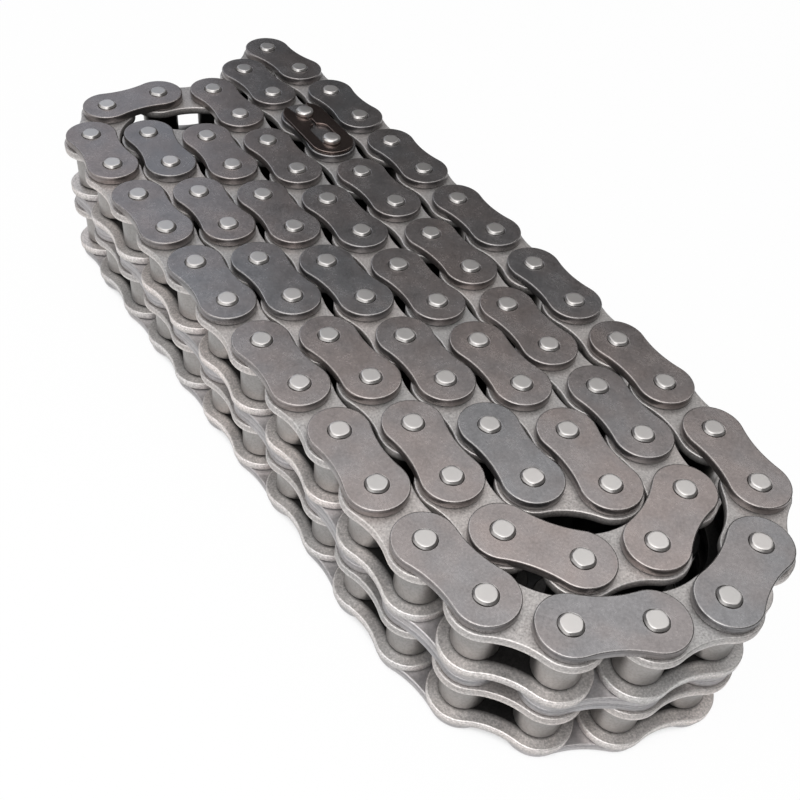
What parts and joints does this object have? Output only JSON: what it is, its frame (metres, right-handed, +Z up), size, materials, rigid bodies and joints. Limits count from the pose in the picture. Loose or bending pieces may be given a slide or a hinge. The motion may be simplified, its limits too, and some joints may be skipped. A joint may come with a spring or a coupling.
{
  "type": "double strand roller chain",
  "caption": "Endless double strand roller chain laid on its side in nested rows, with pivoting links, turning rollers and a connecting link held by a spring clip.",
  "frame": {"origin": "centre of the lying loop's box, on the plane that the pin ends rest on", "axes": "+Z up along the pins, +Y along the nested rows to the end with the hook, +X across the rows to the side of the free run"},
  "size_m": [0.1066, 0.2842, 0.049],
  "materials": {
    "pin_link_steel": "dark tumbled steel, faint bluing",
    "roller_link_steel": "satin tumbled steel",
    "roller_steel": "satin, slightly peened",
    "pin_steel": "bright, ground ends",
    "bush_steel": "plain, oiled",
    "clip_steel": "blackened spring steel, glossy"
  },
  "bodies": {
    "nest": {"nest_outer_plates": "pin_link_steel", "nest_centre_plates": "pin_link_steel", "nest_pins": "pin_steel", "nest_lower_roller_plates": "roller_link_steel", "nest_upper_roller_plates": "roller_link_steel", "nest_lower_bushes": "bush_steel", "nest_upper_bushes": "bush_steel", "nest_lower_rollers": "roller_steel", "nest_upper_rollers": "roller_steel", "connecting_plate": "pin_link_steel", "connecting_centre_plates": "pin_link_steel", "connecting_pins": "pin_steel", "cover_plate": "pin_link_steel"},
    "clip": {"spring_clip": "clip_steel"},
    "roller_link_1": {"roller_link_1_plates": "roller_link_steel"},
    "roller_link_1_roller_1_body": {"roller_link_1_roller_1": "roller_steel"},
    "roller_link_1_roller_2_body": {"roller_link_1_roller_2": "roller_steel"},
    "roller_link_1_roller_3_body": {"roller_link_1_roller_3": "roller_steel"},
    "roller_link_1_roller_4_body": {"roller_link_1_roller_4": "roller_steel"},
    "pin_link_1": {"pin_link_1_plates": "pin_link_steel", "pin_link_1_pins": "pin_steel"},
    "roller_link_2": {"roller_link_2_plates": "roller_link_steel"},
    "roller_link_2_roller_1_body": {"roller_link_2_roller_1": "roller_steel"},
    "roller_link_2_roller_2_body": {"roller_link_2_roller_2": "roller_steel"},
    "roller_link_2_roller_3_body": {"roller_link_2_roller_3": "roller_steel"},
    "roller_link_2_roller_4_body": {"roller_link_2_roller_4": "roller_steel"},
    "pin_link_2": {"pin_link_2_plates": "pin_link_steel", "pin_link_2_pins": "pin_steel"},
    "roller_link_3": {"roller_link_3_plates": "roller_link_steel", "roller_link_3_rollers": "roller_steel"},
    "pin_link_3": {"pin_link_3_plates": "pin_link_steel", "pin_link_3_pins": "pin_steel"},
    "roller_link_4": {"roller_link_4_plates": "roller_link_steel", "roller_link_4_rollers": "roller_steel"},
    "pin_link_4": {"pin_link_4_plates": "pin_link_steel", "pin_link_4_pins": "pin_steel"},
    "roller_link_5": {"roller_link_5_plates": "roller_link_steel", "roller_link_5_rollers": "roller_steel"},
    "pin_link_5": {"pin_link_5_plates": "pin_link_steel", "pin_link_5_pins": "pin_steel"},
    "roller_link_6": {"roller_link_6_plates": "roller_link_steel", "roller_link_6_rollers": "roller_steel"},
    "pin_link_6": {"pin_link_6_plates": "pin_link_steel", "pin_link_6_pins": "pin_steel"},
    "roller_link_7": {"roller_link_7_plates": "roller_link_steel", "roller_link_7_rollers": "roller_steel"},
    "pin_link_7": {"pin_link_7_plates": "pin_link_steel", "pin_link_7_pins": "pin_steel"},
    "roller_link_8": {"roller_link_8_plates": "roller_link_steel", "roller_link_8_rollers": "roller_steel"},
    "pin_link_8": {"pin_link_8_plates": "pin_link_steel", "pin_link_8_pins": "pin_steel"},
    "hook_end": {"hook_outer_plates": "pin_link_steel", "hook_centre_plates": "pin_link_steel", "hook_pins": "pin_steel", "hook_roller_plates": "roller_link_steel", "hook_bushes": "bush_steel", "hook_rollers": "roller_steel"}
  },
  "joints": [
    {"name": "clip_slide", "type": "slide", "parent": "nest", "child": "clip", "axis": [-0.0349, -0.9994, 0], "range_m": [0, 0.0082]},
    {"name": "roller_link_1_pivot", "type": "hinge", "parent": "nest", "child": "roller_link_1", "pos_m": [-0.03941, -0.10491, 0.02358], "axis": [0, 0, 1], "range_deg": [-24, 0]},
    {"name": "roller_link_1_roller_1_spin", "type": "hinge", "parent": "roller_link_1", "child": "roller_link_1_roller_1_body", "pos_m": [-0.03941, -0.10491, 0.01219], "axis": [0, 0, 1], "continuous": true},
    {"name": "roller_link_1_roller_2_spin", "type": "hinge", "parent": "roller_link_1", "child": "roller_link_1_roller_2_body", "pos_m": [-0.03941, -0.10491, 0.03497], "axis": [0, 0, 1], "continuous": true},
    {"name": "roller_link_1_roller_3_spin", "type": "hinge", "parent": "roller_link_1", "child": "roller_link_1_roller_3_body", "pos_m": [-0.02821, -0.12032, 0.01219], "axis": [0, 0, 1], "continuous": true},
    {"name": "roller_link_1_roller_4_spin", "type": "hinge", "parent": "roller_link_1", "child": "roller_link_1_roller_4_body", "pos_m": [-0.02821, -0.12032, 0.03497], "axis": [0, 0, 1], "continuous": true},
    {"name": "pin_link_1_pivot", "type": "hinge", "parent": "roller_link_1", "child": "pin_link_1", "pos_m": [-0.02821, -0.12032, 0.02358], "axis": [0, 0, 1], "range_deg": [-24, 0]},
    {"name": "roller_link_2_pivot", "type": "hinge", "parent": "pin_link_1", "child": "roller_link_2", "pos_m": [-0.01139, -0.12926, 0.02358], "axis": [0, 0, 1], "range_deg": [-24, 0]},
    {"name": "roller_link_2_roller_1_spin", "type": "hinge", "parent": "roller_link_2", "child": "roller_link_2_roller_1_body", "pos_m": [-0.01139, -0.12926, 0.01219], "axis": [0, 0, 1], "continuous": true},
    {"name": "roller_link_2_roller_2_spin", "type": "hinge", "parent": "roller_link_2", "child": "roller_link_2_roller_2_body", "pos_m": [-0.01139, -0.12926, 0.03497], "axis": [0, 0, 1], "continuous": true},
    {"name": "roller_link_2_roller_3_spin", "type": "hinge", "parent": "roller_link_2", "child": "roller_link_2_roller_3_body", "pos_m": [0.00725, -0.13322, 0.01219], "axis": [0, 0, 1], "continuous": true},
    {"name": "roller_link_2_roller_4_spin", "type": "hinge", "parent": "roller_link_2", "child": "roller_link_2_roller_4_body", "pos_m": [0.00725, -0.13322, 0.03497], "axis": [0, 0, 1], "continuous": true},
    {"name": "pin_link_2_pivot", "type": "hinge", "parent": "roller_link_2", "child": "pin_link_2", "pos_m": [0.00725, -0.13322, 0.02358], "axis": [0, 0, 1], "range_deg": [-24, 0]},
    {"name": "roller_link_3_pivot", "type": "hinge", "parent": "pin_link_2", "child": "roller_link_3", "pos_m": [0.02515, -0.12671, 0.02358], "axis": [0, 0, 1], "range_deg": [-24, 0]},
    {"name": "pin_link_3_pivot", "type": "hinge", "parent": "roller_link_3", "child": "pin_link_3", "pos_m": [0.03908, -0.11371, 0.02358], "axis": [0, 0, 1], "range_deg": [-24, 0]},
    {"name": "roller_link_4_pivot", "type": "hinge", "parent": "pin_link_3", "child": "roller_link_4", "pos_m": [0.04239, -0.09495, 0.02358], "axis": [0, 0, 1], "range_deg": [-24, 0]},
    {"name": "pin_link_4_pivot", "type": "hinge", "parent": "roller_link_4", "child": "pin_link_4", "pos_m": [0.04338, -0.07593, 0.02358], "axis": [0, 0, 1], "range_deg": [-24, 0]},
    {"name": "roller_link_5_pivot", "type": "hinge", "parent": "pin_link_4", "child": "roller_link_5", "pos_m": [0.04372, -0.05688, 0.02358], "axis": [0, 0, 1], "range_deg": [-24, 0]},
    {"name": "pin_link_5_pivot", "type": "hinge", "parent": "roller_link_5", "child": "pin_link_5", "pos_m": [0.04405, -0.03784, 0.02358], "axis": [0, 0, 1], "range_deg": [-24, 0]},
    {"name": "roller_link_6_pivot", "type": "hinge", "parent": "pin_link_5", "child": "roller_link_6", "pos_m": [0.04438, -0.01879, 0.02358], "axis": [0, 0, 1], "range_deg": [-24, 0]},
    {"name": "pin_link_6_pivot", "type": "hinge", "parent": "roller_link_6", "child": "pin_link_6", "pos_m": [0.04438, 0.00026, 0.02358], "axis": [0, 0, 1], "range_deg": [-24, 0]},
    {"name": "roller_link_7_pivot", "type": "hinge", "parent": "pin_link_6", "child": "roller_link_7", "pos_m": [0.04372, 0.0193, 0.02358], "axis": [0, 0, 1], "range_deg": [-24, 0]},
    {"name": "pin_link_7_pivot", "type": "hinge", "parent": "roller_link_7", "child": "pin_link_7", "pos_m": [0.04372, 0.03835, 0.02358], "axis": [0, 0, 1], "range_deg": [-24, 0]},
    {"name": "roller_link_8_pivot", "type": "hinge", "parent": "pin_link_7", "child": "roller_link_8", "pos_m": [0.04338, 0.0574, 0.02358], "axis": [0, 0, 1], "range_deg": [-24, 0]},
    {"name": "pin_link_8_pivot", "type": "hinge", "parent": "roller_link_8", "child": "pin_link_8", "pos_m": [0.04272, 0.07644, 0.02358], "axis": [0, 0, 1], "range_deg": [-24, 0]},
    {"name": "hook_end_pivot", "type": "hinge", "parent": "pin_link_8", "child": "hook_end", "pos_m": [0.04239, 0.09548, 0.02358], "axis": [0, 0, 1], "range_deg": [-5, 0]}
  ]
}
